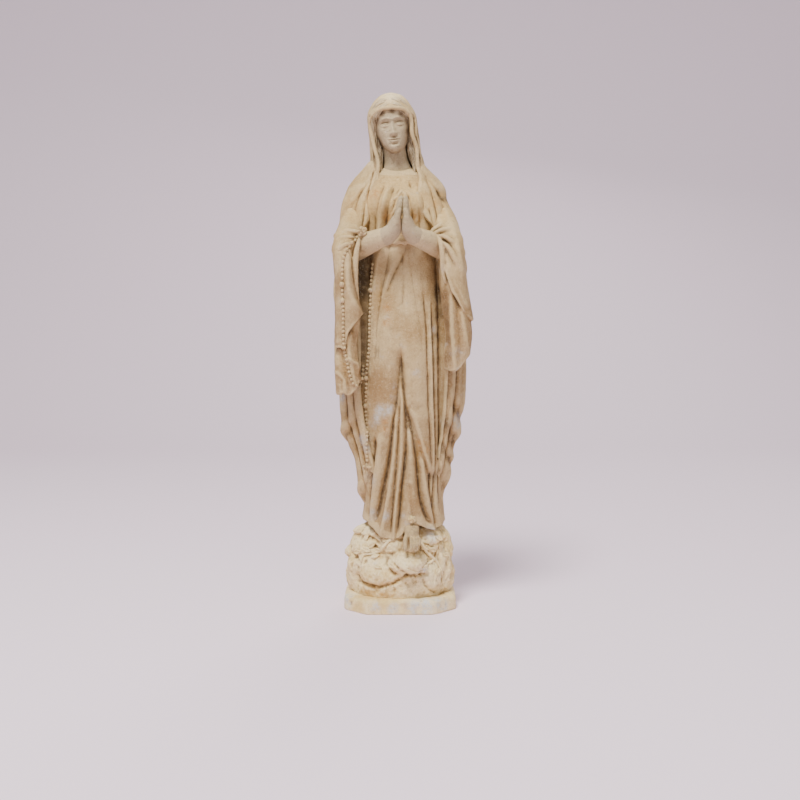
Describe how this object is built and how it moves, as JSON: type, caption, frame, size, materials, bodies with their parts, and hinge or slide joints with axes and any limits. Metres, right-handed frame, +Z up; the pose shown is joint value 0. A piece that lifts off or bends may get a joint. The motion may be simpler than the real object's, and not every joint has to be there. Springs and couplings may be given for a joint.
{
  "type": "madonna statue",
  "caption": "Standing draped figure with pressed hands, veil, mantle and rosary on a rocky mound and chamfered slab, in weathered cast stone.",
  "frame": {"origin": "middle of the slab's flat underside", "axes": "+Z up along the figure, -Y towards the viewer in front of the figure, +X to the viewer's right, which is the figure's own left"},
  "size_m": [0.2171, 0.1823, 0.8],
  "materials": {
    "figure_stone": "weathered buff cast stone with ochre stains in the folds",
    "skin_stone": "smooth rubbed cast stone, greyer than the drapery",
    "base_stone": "pale cast stone with lime bloom",
    "pin_steel": "plain steel bar, hidden inside"
  },
  "bodies": {
    "root": {"plinth_slab": "base_stone", "rock_mound": "base_stone", "gown_skirt": "figure_stone", "gown_bodice": "figure_stone", "girdle": "figure_stone", "mantle_right": "figure_stone", "mantle_left": "figure_stone", "sleeve_fall_right": "figure_stone", "sleeve_fall_left": "figure_stone", "forearm_right": "figure_stone", "forearm_left": "figure_stone", "hand_right": "skin_stone", "hand_left": "skin_stone", "thumb_right": "skin_stone", "thumb_left": "skin_stone", "neck": "skin_stone", "head": "skin_stone", "hair": "skin_stone", "veil": "figure_stone", "foot_left": "skin_stone", "foot_rose": "base_stone", "briar_stems": "base_stone", "briar_bud": "base_stone", "briar_leaves": "base_stone", "rosary_knot": "figure_stone", "rosary_sleeve_strand": "figure_stone", "rosary_gown_strand": "figure_stone", "rosary_crucifix": "figure_stone", "steel_rod": "pin_steel", "neck_pin": "pin_steel", "wrist_pin_right": "pin_steel", "wrist_pin_left": "pin_steel", "slab_dowels": "pin_steel"}
  },
  "joints": []
}
